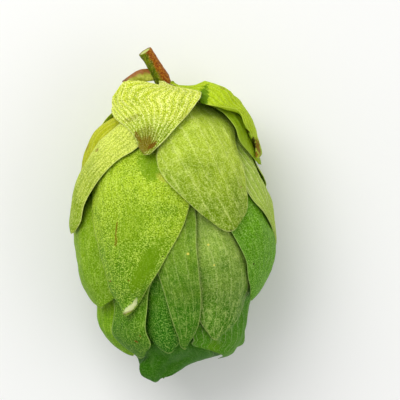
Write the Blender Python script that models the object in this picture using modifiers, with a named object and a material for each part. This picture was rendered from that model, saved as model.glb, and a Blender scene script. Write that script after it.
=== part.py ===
"""Hop cone, picked with its short stalk and lying on its back.

The cone lies along Y: its crown and stalk towards +Y, its tip towards -Y, and the side that
is seen in front faces up. The origin is the middle of its footprint on the surface it lies on.

Every bract is one thin sheet. It starts at a narrow claw on the strig, the stalk's thin
continuation down the middle of the cone, widens outwards and lies over the bracts below it
like a shingle. What shows of each sheet follows the cone's smooth outer form. The sheets are
laid from the crown down, and each one dips under the relief of those already laid.
"""

import math
import random

import bpy
import numpy as np

MM = 0.001

# Driving dimensions, in millimetres. A station is the distance down the cone from its crown.
# An azimuth is the angle round the cone, in degrees, from the front towards the right.
CONE_PROFILE = (  # (station, radius) of the smooth outer form of the cone
    (0.6, 1.6), (0.75, 3.6), (1.0, 5.5), (1.4, 6.8), (2.0, 7.7), (3.3, 8.5), (5.3, 9.7), (8.8, 10.9),
    (12.0, 11.8), (15.0, 12.3), (19.0, 12.5), (22.5, 12.2), (25.4, 11.4), (28.0, 9.9), (31.0, 9.2),
    (33.0, 8.0), (34.5, 6.4), (35.5, 3.9), (36.5, 2.6), (37.4, 1.6), (38.0, 0.7),
)
CONE_AXIS = (  # (station, across) of the middle of that form
    (0.4, -1.2), (0.7, -0.6), (1.2, 0.0), (2.2, 0.3), (3.6, 0.5), (8.0, 0.0), (22.0, 0.1),
    (28.0, -0.1), (31.0, 0.1), (33.0, 0.5), (34.5, 0.8), (35.5, -1.0), (36.5, -1.7), (38.0, -1.9),
)
STALK_ROUTE = (  # (station, across, height, radius) from the stalk's cut end down into the strig
    (-3.55, -3.5, 1.3, 0.95), (-2.5, -2.8, 1.0, 0.9), (-1.3, -2.1, 0.6, 0.97),
    (-0.3, -1.5, 0.3, 1.05), (0.9, -0.95, 0.1, 0.92), (3.0, -0.4, 0.0, 0.78), (6.0, 0.0, 0.0, 0.7),
    (9.0, 0.1, 0.0, 0.62), (12.0, 0.0, 0.0, 0.55), (15.0, 0.1, 0.0, 0.5), (18.0, 0.0, 0.0, 0.42),
    (20.5, 0.1, 0.0, 0.3),
)
BACK_FLAT = 11.6        # the cone's depth behind its axis where its back is pressed flat
FLAT_SOFTNESS = 14      # how sharply the round side turns into the flat back
SLOPE_STEP = 0.1        # the step down the cone over which its slope is measured
THICKNESS = 0.24
CLEARANCE = 0.2
CUP = 0.12              # how far a bract's two edges are tucked in behind its middle
CLAW_RADIUS = 1.4       # where a bract's sheet starts, just clear of the strig
CLAW_FLARE = 1.1        # how quickly a claw spreads outwards, as a length down the strig
CROWN_FLARE = 0.5       # the same at the crown, where it is quicker
FLARE_GROWTH = 0.3      # how much slower it gets for every millimetre below that
CLAW_SPREAD = 14.0      # half the angle that a claw takes up round the strig
CROWN_CLAW = -0.1       # station of the uppermost claws
CLAW_CROWDING = 0.018   # the claws crowd together towards the crown: station per rank squared
CROWN_RANK = 9.0

# The bracts seen from the front. The rank puts them in order: a lower rank lies over a higher
# one. An edge is a row of (across, station) points from the base to the tip. Where a point is
# further across than the cone reaches there, the sheet runs on that much further round the side.
# A blunt tip is given its width, a lift raises the sheet towards its tip, and a bulge is
# (across, station, reach, height).
FRONT_BRACTS = {
    "crown_front": dict(
        rank=9.0,
        left=((-3.0, 0.8), (-6.2, 1.3), (-8.4, 2.6), (-7.8, 4.2), (-6.0, 5.8), (-4.8, 7.3),
              (-4.3, 8.6)),
        right=((1.2, 0.8), (3.2, 1.1), (3.7, 1.8), (2.8, 3.2), (0.8, 5.6), (-0.9, 7.5),
               (-2.2, 8.8)),
        tip=(-3.3, 9.5), blunt=0.8,
        bulges=((-4.4, 1.1, 3.6, 0.9), (-6.8, 1.7, 2.2, 0.6))),
    "crown_right": dict(
        rank=9.2, lift=0.3,
        left=((3.2, 1.3), (4.1, 2.2), (4.5, 3.1), (5.9, 3.5), (7.8, 3.9), (8.7, 5.6),
              (9.5, 6.9), (10.1, 8.3)),
        right=((5.2, 0.9), (8.2, 1.6), (10.4, 2.8), (11.8, 4.2), (12.4, 5.9), (12.4, 7.3),
               (12.0, 8.3), (11.2, 9.2)),
        tip=(10.3, 9.9), blunt=0.4,
        bulges=((5.4, 1.2, 3.0, 1.5), (3.9, 2.2, 1.3, -0.9))),
    "shoulder_right": dict(
        rank=15.0,
        left=((5.0, 1.6), (6.9, 3.6), (8.0, 5.8), (8.7, 8.0)),
        right=((9.6, 2.0), (12.4, 4.2), (13.4, 6.6), (13.0, 8.9)),
        tip=(11.0, 10.6)),
    "upper_left": dict(
        rank=16.0, lift=0.5,
        left=((-7.0, 4.4), (-8.0, 5.8), (-8.8, 6.9), (-9.7, 8.1), (-11.1, 10.4), (-12.2, 12.6),
              (-12.7, 15.2), (-12.6, 17.6)),
        right=((-3.4, 4.4), (-3.3, 6.0), (-3.9, 7.4), (-5.2, 8.6), (-7.8, 10.8), (-9.6, 13.0),
               (-11.0, 15.8), (-11.3, 18.0)),
        tip=(-11.9, 19.2), blunt=0.7),
    "upper_right": dict(
        rank=18.5,
        left=((0.9, 2.6), (-1.0, 4.6), (-1.9, 7.4), (-2.1, 9.8), (-1.1, 12.2), (2.0, 15.5),
              (3.9, 17.5)),
        right=((7.4, 2.6), (8.7, 4.4), (8.8, 7.4), (9.1, 10.6), (9.5, 13.6), (9.6, 16.0),
               (9.3, 17.4)),
        tip=(6.9, 18.9), blunt=4.2),
    "shoulder_left": dict(
        rank=19.5,
        left=((-8.8, 3.0), (-11.6, 5.2), (-13.8, 8.4), (-14.4, 11.4)),
        right=((-6.0, 3.6), (-8.0, 6.6), (-9.2, 9.6), (-10.9, 12.2)),
        tip=(-13.0, 14.2), blunt=1.0),
    "side_right": dict(
        rank=21.0, lift=0.3,
        left=((5.4, 4.6), (7.2, 8.0), (8.6, 11.2), (9.8, 13.8), (11.0, 16.0), (12.0, 17.8)),
        right=((11.6, 4.6), (14.6, 8.0), (16.8, 11.6), (17.6, 14.8), (16.8, 17.6), (15.2, 19.4)),
        tip=(13.2, 20.6), blunt=0.8),
    "middle_left": dict(
        rank=25.0,
        left=((-7.4, 6.8), (-10.9, 10.6), (-10.9, 14.6), (-10.3, 18.2), (-9.5, 21.6),
              (-8.6, 24.8), (-7.5, 27.6)),
        right=((0.4, 6.8), (2.4, 10.8), (2.6, 14.4), (1.2, 18.6), (-0.5, 21.6), (-2.2, 24.6),
               (-3.9, 27.6)),
        tip=(-5.6, 29.3), blunt=1.3,
        bulges=((-5.2, 28.7, 1.8, 0.5),)),
    "middle_right": dict(
        rank=27.3, lift=0.15,
        left=((6.4, 9.6), (6.6, 13.6), (7.1, 17.6), (8.3, 20.6), (9.2, 22.8), (9.4, 25.2)),
        right=((13.4, 9.4), (17.0, 13.4), (18.0, 17.8), (17.0, 21.4), (14.6, 24.2), (12.0, 26.3)),
        tip=(9.6, 27.4), blunt=1.2),
    "lower_left": dict(
        rank=28.4,
        left=((-13.0, 9.0), (-16.4, 14.0), (-16.6, 19.2), (-14.8, 23.0), (-12.4, 25.8),
              (-10.4, 27.5)),
        right=((-6.0, 9.0), (-6.0, 15.0), (-6.4, 20.0), (-6.9, 24.0), (-7.3, 26.6), (-7.8, 27.9)),
        tip=(-8.9, 28.4), blunt=1.0),
    "lower_middle": dict(
        rank=30.2,
        left=((-1.0, 12.2), (-2.4, 17.0), (-3.0, 21.4), (-1.9, 24.8), (-0.6, 28.2), (0.3, 31.0),
              (0.8, 32.4)),
        right=((2.9, 12.2), (3.3, 17.0), (3.1, 21.2), (3.4, 24.8), (3.6, 28.4), (3.0, 31.4),
               (2.3, 32.7)),
        tip=(1.5, 33.4), blunt=0.8),
    "lower_right": dict(
        rank=32.2,
        left=((2.0, 13.4), (1.8, 17.6), (2.1, 21.2), (2.6, 24.8), (3.2, 28.4), (4.0, 31.0)),
        right=((7.2, 13.4), (8.8, 17.8), (10.2, 21.6), (10.4, 25.0), (9.1, 28.4), (7.4, 31.2)),
        tip=(5.3, 32.3), blunt=1.4),
    "low_left": dict(
        rank=33.4,
        left=((-8.0, 19.0), (-9.1, 23.6), (-8.6, 27.4), (-7.9, 30.6), (-6.9, 32.7)),
        right=((-2.0, 18.6), (-2.2, 24.0), (-3.4, 28.2), (-3.3, 31.4), (-2.4, 33.6)),
        tip=(-3.9, 34.6), blunt=2.2),
    "low_side_left": dict(
        rank=34.6,
        left=((-13.0, 19.0), (-14.2, 24.0), (-12.6, 28.0), (-11.0, 31.2), (-8.6, 33.3)),
        right=((-6.6, 19.0), (-5.6, 24.4), (-4.6, 28.6), (-4.0, 31.8), (-4.4, 33.9)),
        tip=(-5.1, 34.5), blunt=1.2),
    "low_right": dict(
        rank=34.9, lift=-0.2,
        left=((3.0, 19.0), (2.4, 24.6), (2.4, 28.6), (2.5, 31.4), (2.9, 33.0), (3.6, 34.0)),
        right=((11.6, 19.0), (14.2, 24.2), (12.6, 28.0), (11.0, 31.2), (9.6, 33.0), (7.8, 34.2)),
        tip=(5.4, 34.9), blunt=1.6,
        bulges=((9.4, 32.9, 2.0, 0.5),)),
    "low_middle": dict(
        rank=36.0,
        left=((-3.8, 19.6), (-4.8, 25.0), (-4.6, 29.2), (-3.8, 31.9), (-2.8, 33.2)),
        right=((1.6, 19.6), (2.0, 25.0), (2.4, 29.2), (2.6, 31.9), (2.0, 33.3)),
        tip=(-0.4, 34.0), blunt=2.6),
    "bottom": dict(
        rank=38.0,
        left=((-4.6, 26.0), (-6.4, 31.0), (-6.4, 33.4), (-5.2, 35.2), (-3.6, 36.8)),
        right=((3.6, 26.0), (5.6, 31.0), (6.4, 33.2), (4.4, 34.8), (0.8, 36.6)),
        tip=(-1.9, 37.6), blunt=1.6,
        bulges=((-3.2, 36.2, 2.8, 0.8),)),
}

# The bracts round the back stand in tiers, each tier turned half a step from the one above.
BACK_TIERS = (  # (station of the tips, azimuths, width as a share, lift of the tips)
    (9.5, (137.0, 180.0, 223.0), 0.95, 0.0),
    (14.5, (121.0, 161.0, 201.0, 241.0), 1.0, 0.0),
    (19.3, (137.0, 181.0, 225.0), 1.0, 0.2),
    (24.0, (121.0, 161.0, 201.0, 241.0), 1.0, 0.4),
    (28.6, (137.0, 181.0, 225.0), 1.0, 0.3),
    (32.0, (121.0, 161.0, 201.0, 241.0), 1.0, 0.0),
    (34.5, (128.0, 181.0, 234.0), 0.8, 0.0),
    (35.4, (150.0, 210.0), 0.6, 0.0),
    (35.8, (72.0, 288.0), 1.0, 0.0),
)
TIER_STAGGER = -0.3     # every other bract of a tier ends a little higher
BACK_DELAY = 5.0        # how much later than by their station the bracts round the back are laid
BACK_LENGTH = 14.0      # from where the sheet leaves its claw to its tip, where the cone is full
BACK_NECK = 1.2         # the least length of its claw
BACK_FRACTIONS = (0.0, 0.2, 0.4, 0.6, 0.8, 0.92)
BACK_HALF_WIDTH = 6.6
BACK_TOP_WIDTH = 0.3    # its width at the top of the sheet, as a share of its widest
BACK_ROUNDNESS = 2.4    # how full the sheet stays towards its tip, as a power
BACK_FULLNESS = 0.7     # how far its width follows the cone's, as a power
BACK_WRAP = 0.55        # the least radius that its width is wrapped round, as a share of that width
BACK_VARIATION = 0.06
BACK_TURN = 3.0
BACK_LEAN = 4.0
SEED = 11

# Sheets are sampled finely for draping, and coarsely for their mesh.
FINE_SAMPLES = 60
ROW_FRACTIONS = (0.0, 0.045, 0.11, 0.2, 0.32, 0.46, 0.62, 0.78, 0.92, 1.0)
COLUMN_WIDTH = 3.0
LEAST_COLUMNS = 3
MOST_COLUMNS = 7
TIP_WIDTH = 1.2         # the least width of a tip
LEAST_RADIUS = 1.5      # the least radius that a tip's width is laid out on

AZIMUTH_CELLS = 120
STATION_CELLS = 96
FIRST_STATION = -5.0
LAST_STATION = 43.0
EMERGENCE = 0.4         # the slope at which a sheet comes out from under the one above
EMERGENCE_REACH = 12    # cells that this slope is followed for
SOFTENING = 3           # cells that the relief is rounded over

STIPULE_ROUTE = (  # (across, station, height) from the stalk outwards
    (-3.3, -0.75, 0.85), (-4.1, -0.55, 0.95), (-4.9, -0.15, 0.9), (-5.9, 0.45, 0.7),
)
STIPULE_HALF_WIDTHS = (0.45, 0.55, 0.42, 0.12)

COLOURS = {
    "young_bract": (0.60, 0.72, 0.12),
    "green_bract": (0.34, 0.55, 0.07),
    "pale_bract": (0.42, 0.56, 0.16),
    "deep_bract": (0.10, 0.30, 0.02),
    "stalk": (0.34, 0.18, 0.06),
    "stipule": (0.40, 0.33, 0.07),
}
YOUNG = ("crown_front", "crown_right", "shoulder_right", "upper_left", "shoulder_left")
PALE = ("upper_right", "side_right", "lower_middle", "lower_right")
DEEP = ("low_middle", "low_right", "bottom")


def smooth(knots, values, at):
    """A curve through the values, piecewise cubic, with slopes from the neighbours."""
    knots = np.asarray(knots, float)
    values = np.asarray(values, float)
    slopes = np.gradient(values, knots)
    at = np.clip(at, knots[0], knots[-1])
    i = np.clip(np.searchsorted(knots, at, side="right") - 1, 0, len(knots) - 2)
    step = knots[i + 1] - knots[i]
    t = (at - knots[i]) / step
    rising = t * t * (3 - 2 * t)
    return ((1 - rising) * values[i] + rising * values[i + 1]
            + step * (t * (1 - t) ** 2 * slopes[i] - t * t * (1 - t) * slopes[i + 1]))


def cone_form(azimuth, station):
    """The outer form's radius and its slope down the cone."""
    stations, radii = zip(*CONE_PROFILE)
    radius = smooth(stations, radii, station)
    before = smooth(stations, radii, station - SLOPE_STEP)
    after = smooth(stations, radii, station + SLOPE_STEP)
    slope = (after - before) / (2 * SLOPE_STEP)
    behind = np.maximum(-np.cos(np.radians(azimuth)), 1e-3)
    flat = BACK_FLAT / behind
    pressed = (radius ** -FLAT_SOFTNESS + flat ** -FLAT_SOFTNESS) ** (-1 / FLAT_SOFTNESS)
    return pressed, slope


def place(azimuth, station, height, rise):
    """Points at a height over the outer form; a rise below 1 draws them in to the strig."""
    radius, slope = cone_form(azimuth, station)
    tilt = np.sqrt(1 + slope * slope)
    radius = radius + height / tilt
    along = station - height * slope / tilt * rise
    strig_stations, strig_across, strig_height, _ = zip(*STALK_ROUTE)
    middle = smooth(*zip(*CONE_AXIS), along)
    claw = smooth(strig_stations, strig_across, along)
    claw_height = smooth(strig_stations, strig_height, along)
    sideways, up = np.sin(np.radians(azimuth)), np.cos(np.radians(azimuth))
    x = (claw + CLAW_RADIUS * sideways) * (1 - rise) + (middle + radius * sideways) * rise
    z = (claw_height + CLAW_RADIUS * up) * (1 - rise) + radius * up * rise
    return np.stack((x, -along, z), axis=-1)


def azimuth_of(across, station):
    """The azimuth of a point seen at a distance across the front, or further round the side."""
    radius = smooth(*zip(*CONE_PROFILE), station)
    across = across - smooth(*zip(*CONE_AXIS), station)
    front = np.degrees(np.arcsin(np.clip(across / radius, -1, 1)))
    beyond = np.sign(across) * np.degrees(np.maximum(np.abs(across) - radius, 0) / radius)
    return front + beyond


def claw_station(rank):
    return CROWN_CLAW + CLAW_CROWDING * (rank - CROWN_RANK) ** 2


def flare(claw):
    """How quickly a sheet spreads outwards from its claw, as a length down the strig."""
    return min(CLAW_FLARE, CROWN_FLARE + FLARE_GROWTH * (claw - CROWN_CLAW))


def front_outline(rank, left, right, tip, blunt=TIP_WIDTH, lift=0.0, bulges=()):
    """Both edges, as azimuths and stations at knots that run from the claw to the tip."""
    claw = claw_station(rank)
    blunt = max(blunt, TIP_WIDTH)
    edges = []
    middle = np.mean([azimuth_of(*left[0]), azimuth_of(*right[0])])
    tip_azimuth = azimuth_of(*tip)
    tip_radius = max(cone_form(tip_azimuth, tip[1])[0], LEAST_RADIUS)
    for points, side in ((left, -1), (right, 1)):
        azimuths = [middle + side * CLAW_SPREAD] + [azimuth_of(*point) for point in points]
        azimuths.append(tip_azimuth + side * math.degrees(blunt / 2 / tip_radius))
        stations = [claw] + [point[1] for point in points] + [tip[1]]
        edges.append((azimuths, stations))
    middles = (np.array(edges[0][1]) + np.array(edges[1][1])) / 2
    knots = (middles - middles[0]) / (middles[-1] - middles[0])
    return dict(rank=rank, claw=claw, knots=knots, left=edges[0], right=edges[1], lift=lift,
                bulges=bulges)


def back_outline(azimuth, tip, share, lift, chance):
    """An ovate bract round the back, pointed at its tip."""
    rank = tip + BACK_DELAY
    claw = claw_station(rank)
    fullness = (cone_form(azimuth, tip - BACK_LENGTH / 3)[0] / BACK_FLAT) ** BACK_FULLNESS
    length = BACK_LENGTH * fullness
    top = max(tip - length, claw + BACK_NECK)
    top_width = BACK_TOP_WIDTH + 1 - (tip - top) / length
    variation = chance.uniform(-BACK_VARIATION, BACK_VARIATION)
    half_width = BACK_HALF_WIDTH * share * fullness * (1 + variation)
    azimuth += chance.uniform(-BACK_TURN, BACK_TURN)
    lean = chance.uniform(-BACK_LEAN, BACK_LEAN)
    tip_radius = max(cone_form(azimuth, tip)[0], LEAST_RADIUS)
    edges = []
    for side in (-1, 1):
        azimuths = [azimuth + side * CLAW_SPREAD]
        stations = [claw]
        for fraction in BACK_FRACTIONS:
            station = top + (tip - top) * fraction
            swell = top_width + (1 - top_width) * math.sin(math.pi * min(fraction, 0.5))
            swell = min(swell, math.sqrt(1 - max(0.0, 2 * fraction - 1) ** BACK_ROUNDNESS))
            radius = max(cone_form(azimuth, station)[0], BACK_WRAP * half_width)
            turn = math.degrees(half_width * swell / radius)
            azimuths.append(azimuth + lean * fraction + side * turn)
            stations.append(station)
        azimuths.append(azimuth + lean + side * math.degrees(TIP_WIDTH / 2 / tip_radius))
        stations.append(tip)
        edges.append((azimuths, stations))
    knots = (np.array(edges[0][1]) - claw) / (tip - claw)
    return dict(rank=rank, claw=claw, knots=knots, left=edges[0], right=edges[1], lift=lift,
                bulges=())


def bract_outlines():
    """Every bract's name and outline, from the lowest rank at the crown to the highest."""
    chance = random.Random(SEED)
    outlines = {name: front_outline(**bract) for name, bract in FRONT_BRACTS.items()}
    for tier, (tips, azimuths, share, lift) in enumerate(BACK_TIERS, 1):
        for number, azimuth in enumerate(azimuths, 1):
            tip = tips + TIER_STAGGER * (number % 2)
            outline = back_outline(azimuth, tip, share, lift, chance)
            outlines[f"back_{tier}_{number}"] = outline
    return dict(sorted(outlines.items(), key=lambda item: item[1]["rank"]))


def sheet_grid(outline, down, across):
    """Azimuths and stations of a sheet's grid; down and across run from 0 to 1."""
    edges = []
    for azimuths, stations in (outline["left"], outline["right"]):
        edges.append((smooth(outline["knots"], azimuths, down), smooth(outline["knots"], stations, down)))
    (left_azimuth, left_station), (right_azimuth, right_station) = edges
    across = across[None, :]
    azimuth = left_azimuth[:, None] * (1 - across) + right_azimuth[:, None] * across
    station = left_station[:, None] * (1 - across) + right_station[:, None] * across
    return azimuth, station


def gather(field, reach, combine):
    """Combine each cell of the relief with the cells around it, round the cone and along it."""
    for axis in (0, 1):
        field = combine([np.roll(field, shift, axis) for shift in range(-reach, reach + 1)], axis=0)
    return field


def emerging(relief):
    """The lowest surface under the relief that never rises faster than the emergence slope."""
    length = LAST_STATION - FIRST_STATION
    stations = FIRST_STATION + np.arange(STATION_CELLS) * length / STATION_CELLS
    radius = np.maximum(smooth(*zip(*CONE_PROFILE), stations), LEAST_RADIUS)[None, :]
    around = EMERGENCE * radius * 2 * math.pi / AZIMUTH_CELLS
    along = EMERGENCE * length / STATION_CELLS
    for _ in range(EMERGENCE_REACH):
        for axis, rise in ((0, around), (1, along)):
            for shift in (-1, 1):
                relief = np.minimum(relief, np.roll(relief, shift, axis) + rise)
    return gather(gather(relief, SOFTENING, np.min), SOFTENING, np.mean)


def cells_of(azimuth, station):
    column = np.mod(azimuth, 360) / 360 * AZIMUTH_CELLS
    row = (station - FIRST_STATION) / (LAST_STATION - FIRST_STATION) * STATION_CELLS
    return column, np.clip(row, 0, STATION_CELLS - 2)


def relief_at(cover, azimuth, station):
    """The height of the relief at any point, between its cells."""
    column, row = cells_of(azimuth, station)
    c, r = column.astype(int), row.astype(int)
    u, v = column - c, row - r
    c0, c1 = c % AZIMUTH_CELLS, (c + 1) % AZIMUTH_CELLS
    upper = cover[c0, r] * (1 - u) + cover[c1, r] * u
    lower = cover[c0, r + 1] * (1 - u) + cover[c1, r + 1] * u
    return upper * (1 - v) + lower * v


def bulging(azimuth, station, bulge_across, bulge_station, reach, height):
    """A soft swelling of the outer form round one place on it."""
    centre = place(azimuth_of(bulge_across, bulge_station), bulge_station, 0, 1)
    distance = np.linalg.norm(place(azimuth, station, 0, 1) - centre, axis=-1)
    return height * np.clip(1 - (distance / reach) ** 2, 0, 1) ** 2


def sheet_height(cover, outline, azimuth, station, down, across):
    """The middle of the sheet's thickness: on the outer form, or under what covers it."""
    tuck = CUP * (2 * across[None, :] - 1) ** 2
    lift = outline["lift"] * down[:, None] ** 3
    for bulge in outline["bulges"]:
        lift = lift + bulging(azimuth, station, *bulge)
    return relief_at(cover, azimuth, station) - CLEARANCE - THICKNESS / 2 - tuck + lift


def laid_sheets(outlines, columns_of):
    """Each bract's mesh points, laid from the crown down to the tip."""
    relief = np.full((AZIMUTH_CELLS, STATION_CELLS), CLEARANCE + THICKNESS / 2)
    fine = np.linspace(0, 1, FINE_SAMPLES)
    rows = np.array(ROW_FRACTIONS)
    sheets = {}
    for name, outline in outlines.items():
        cover = emerging(relief)
        across = np.linspace(0, 1, columns_of(outline))
        azimuth, station = sheet_grid(outline, rows, across)
        height = sheet_height(cover, outline, azimuth, station, rows, across)
        rise = 1 - np.exp(-(station - outline["claw"]) / flare(outline["claw"]))
        sheets[name] = place(azimuth, station, height, np.clip(rise, 0, 1))
        azimuth, station = sheet_grid(outline, fine, fine)
        underside = sheet_height(cover, outline, azimuth, station, fine, fine) - THICKNESS / 2
        column, row = cells_of(azimuth, station)
        cells = (np.rint(column).astype(int) % AZIMUTH_CELLS, np.rint(row).astype(int))
        np.minimum.at(relief, cells, underside)
    return sheets


def column_count(outline):
    """More columns across a wide bract than across a narrow one."""
    azimuth, station = sheet_grid(outline, np.linspace(0, 1, 20), np.array([0.0, 1.0]))
    spread = np.radians(azimuth[:, 1] - azimuth[:, 0]) * cone_form(azimuth[:, 0], station[:, 0])[0]
    columns = round(float(np.max(spread)) / COLUMN_WIDTH)
    return 1 + int(np.clip(columns, LEAST_COLUMNS, MOST_COLUMNS))


def material(name):
    made = bpy.data.materials.new(name)
    made.use_nodes = True
    shader = made.node_tree.nodes["Principled BSDF"]
    shader.inputs["Base Color"].default_value = (*COLOURS[name], 1)
    shader.inputs["Roughness"].default_value = 0.55
    shader.inputs["Metallic"].default_value = 0.0
    return made


def sheet_object(name, points, finish, collection, thickness):
    """A thin sheet through a grid of points, given its thickness by Solidify."""
    rows, columns = points.shape[:2]
    faces = []
    for row in range(rows - 1):
        for column in range(columns - 1):
            corner = row * columns + column
            faces.append((corner, corner + columns, corner + columns + 1, corner + 1))
    mesh = bpy.data.meshes.new(name)
    mesh.from_pydata((points.reshape(-1, 3) * MM).tolist(), [], faces)
    mesh.shade_smooth()
    mesh.materials.append(finish)
    made = bpy.data.objects.new(name, mesh)
    collection.objects.link(made)
    shell = made.modifiers.new("thickness", "SOLIDIFY")
    shell.thickness = thickness * MM
    shell.offset = 0
    return made


def stalk_object(shift, finish, collection):
    """The stalk and the strig that it becomes inside the cone, grown as one tapering stem."""
    curve = bpy.data.curves.new("stalk", "CURVE")
    curve.dimensions = "3D"
    curve.bevel_depth = MM
    curve.bevel_resolution = 2
    curve.use_fill_caps = True
    spline = curve.splines.new("POLY")
    spline.points.add(len(STALK_ROUTE) - 1)
    for point, (station, across, height, radius) in zip(spline.points, STALK_ROUTE):
        point.co = (*((np.array((across, -station, height)) + shift) * MM), 1)
        point.radius = radius
    curve.materials.append(finish)
    made = bpy.data.objects.new("stalk", curve)
    collection.objects.link(made)
    return made


def stipule_points(shift):
    """The small withered stipule at the stalk's left, as a grid of points across its route."""
    route = np.array([(x, -s, z) for x, s, z in STIPULE_ROUTE])
    along = np.gradient(route, axis=0)
    sideways = np.stack((-along[:, 1], along[:, 0], np.zeros(len(route))), axis=-1)
    sideways /= np.linalg.norm(sideways, axis=1)[:, None]
    widths = np.array(STIPULE_HALF_WIDTHS)[:, None]
    rows = [route + sideways * widths * side for side in (-1, 0, 1)]
    return np.stack(rows, axis=1) + shift


def finish_of(name):
    if name in YOUNG or name.startswith(("back_1", "back_2")):
        return "young_bract"
    if name in PALE:
        return "pale_bract"
    if name in DEEP or name.startswith(("back_6", "back_7", "back_8", "back_9")):
        return "deep_bract"
    return "green_bract"


def build():
    for old in list(bpy.data.objects):
        bpy.data.objects.remove(old, do_unlink=True)
    collection = bpy.data.collections.new("hop_cone")
    bpy.context.scene.collection.children.link(collection)
    materials = {name: material(name) for name in COLOURS}

    sheets = laid_sheets(bract_outlines(), column_count)
    points = np.concatenate([sheet.reshape(-1, 3) for sheet in sheets.values()])
    stalk = np.array([(0, -station, 0) for station, *_ in STALK_ROUTE])
    low = np.minimum(points.min(axis=0), stalk.min(axis=0))
    high = np.maximum(points.max(axis=0), stalk.max(axis=0))
    shift = np.array((-(low[0] + high[0]) / 2, -(low[1] + high[1]) / 2, THICKNESS / 2 - low[2]))

    for name, sheet in sheets.items():
        finish = materials[finish_of(name)]
        sheet_object(f"bract_{name}", sheet + shift, finish, collection, THICKNESS)
    stalk_object(shift, materials["stalk"], collection)
    sheet_object("stipule", stipule_points(shift), materials["stipule"], collection, THICKNESS)


build()
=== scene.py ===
"""The looks of a picked hop cone that lies on its back on a pale floor.

Every bract is modelled again as a fine thin sheet where its plain solid lies, with its pleats,
veins, marks and rolled edges. The stalk gets its grooves, cut end and hairs, and the stipule
its crinkles. A station is the distance down the cone from its crown, in millimetres, and an
azimuth is the angle round the cone, in degrees, from the front towards the right.
"""

import math
import random

import bpy
import numpy as np
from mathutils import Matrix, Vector


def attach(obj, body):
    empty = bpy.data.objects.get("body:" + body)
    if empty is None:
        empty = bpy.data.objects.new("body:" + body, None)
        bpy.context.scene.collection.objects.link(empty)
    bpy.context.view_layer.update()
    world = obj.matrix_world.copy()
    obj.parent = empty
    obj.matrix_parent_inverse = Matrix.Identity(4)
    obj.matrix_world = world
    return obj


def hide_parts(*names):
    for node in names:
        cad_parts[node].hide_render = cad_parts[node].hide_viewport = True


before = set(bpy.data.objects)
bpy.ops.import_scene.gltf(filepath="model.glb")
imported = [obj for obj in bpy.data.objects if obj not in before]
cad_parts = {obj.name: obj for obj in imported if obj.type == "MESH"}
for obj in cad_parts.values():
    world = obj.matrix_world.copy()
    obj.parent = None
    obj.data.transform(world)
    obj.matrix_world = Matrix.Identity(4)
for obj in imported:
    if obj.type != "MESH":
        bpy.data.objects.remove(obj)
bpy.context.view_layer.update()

MM = 0.001

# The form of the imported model, in millimetres.
CONE_PROFILE = (  # (station, radius) of the smooth outer form of the cone
    (0.6, 1.6), (0.75, 3.6), (1.0, 5.5), (1.4, 6.8), (2.0, 7.7), (3.3, 8.5), (5.3, 9.7),
    (8.8, 10.9), (12.0, 11.8), (15.0, 12.3), (19.0, 12.5), (22.5, 12.2), (25.4, 11.4),
    (28.0, 9.9), (31.0, 9.2), (33.0, 8.0), (34.5, 6.4), (35.5, 3.9), (36.5, 2.6), (37.4, 1.6),
    (38.0, 0.7),
)
CONE_AXIS = (  # (station, across) of the middle of that form
    (0.4, -1.2), (0.7, -0.6), (1.2, 0.0), (2.2, 0.3), (3.6, 0.5), (8.0, 0.0), (22.0, 0.1),
    (28.0, -0.1), (31.0, 0.1), (33.0, 0.5), (34.5, 0.8), (35.5, -1.0), (36.5, -1.7), (38.0, -1.9),
)
STALK_ROUTE = (  # (station, across, height, radius) from the stalk's cut end down into the strig
    (-3.55, -3.5, 1.3, 0.95), (-2.5, -2.8, 1.0, 0.9), (-1.3, -2.1, 0.6, 0.97),
    (-0.3, -1.5, 0.3, 1.05), (0.9, -0.95, 0.1, 0.92), (3.0, -0.4, 0.0, 0.78), (6.0, 0.0, 0.0, 0.7),
    (9.0, 0.1, 0.0, 0.62), (12.0, 0.0, 0.0, 0.55), (15.0, 0.1, 0.0, 0.5), (18.0, 0.0, 0.0, 0.42),
    (20.5, 0.1, 0.0, 0.3),
)
BACK_FLAT = 10.79       # the cone's depth behind its axis where its back is pressed flat
FLAT_SOFTNESS = 14      # how sharply the round side turns into the flat back
SLOPE_STEP = 0.1        # the step down the cone over which its slope is measured
PLAIN_SURFACE = 0.12    # how far the plain sheets' outer faces stand over the cone's form

# The fine sheets.
THICKNESS = 0.12
MARGIN_THICKNESS = 0.4  # the thickness at a sheet's edge, as a share
MARGIN = 0.5            # how far in from its edge a sheet gets thinner
MARGIN_LEVELS = 8       # the steps in which it does
CLEARANCE = 0.06
CLAW_RADIUS = 1.4       # where a bract's sheet starts, just clear of the strig
CLAW_FLARE = 1.1        # how quickly a claw spreads outwards, as a length down the strig
CROWN_FLARE = 0.5       # the same at the crown, where it is quicker
FLARE_GROWTH = 0.3      # how much slower it gets for every millimetre below that
CLAW_SPREAD = 14.0      # half the angle that a claw takes up round the strig
CROWN_CLAW = 0.15       # station of the uppermost claws
CLAW_CROWDING = 0.018   # the claws crowd together towards the crown: station per rank squared
CROWN_RANK = 9.0
TIP_WIDTH = 0.5
LEAST_RADIUS = 1.0      # the least radius that a width or a slope is measured on
TIP_ROUNDING = 0.3      # how far a tip is rounded off, as a share of its width
EMERGENCE = 0.3         # the slope at which a sheet comes out from under the one above
EMERGENCE_REACH = 22    # cells that this slope is followed for
SOFTENING = 2           # cells that the relief is rounded over

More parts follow.
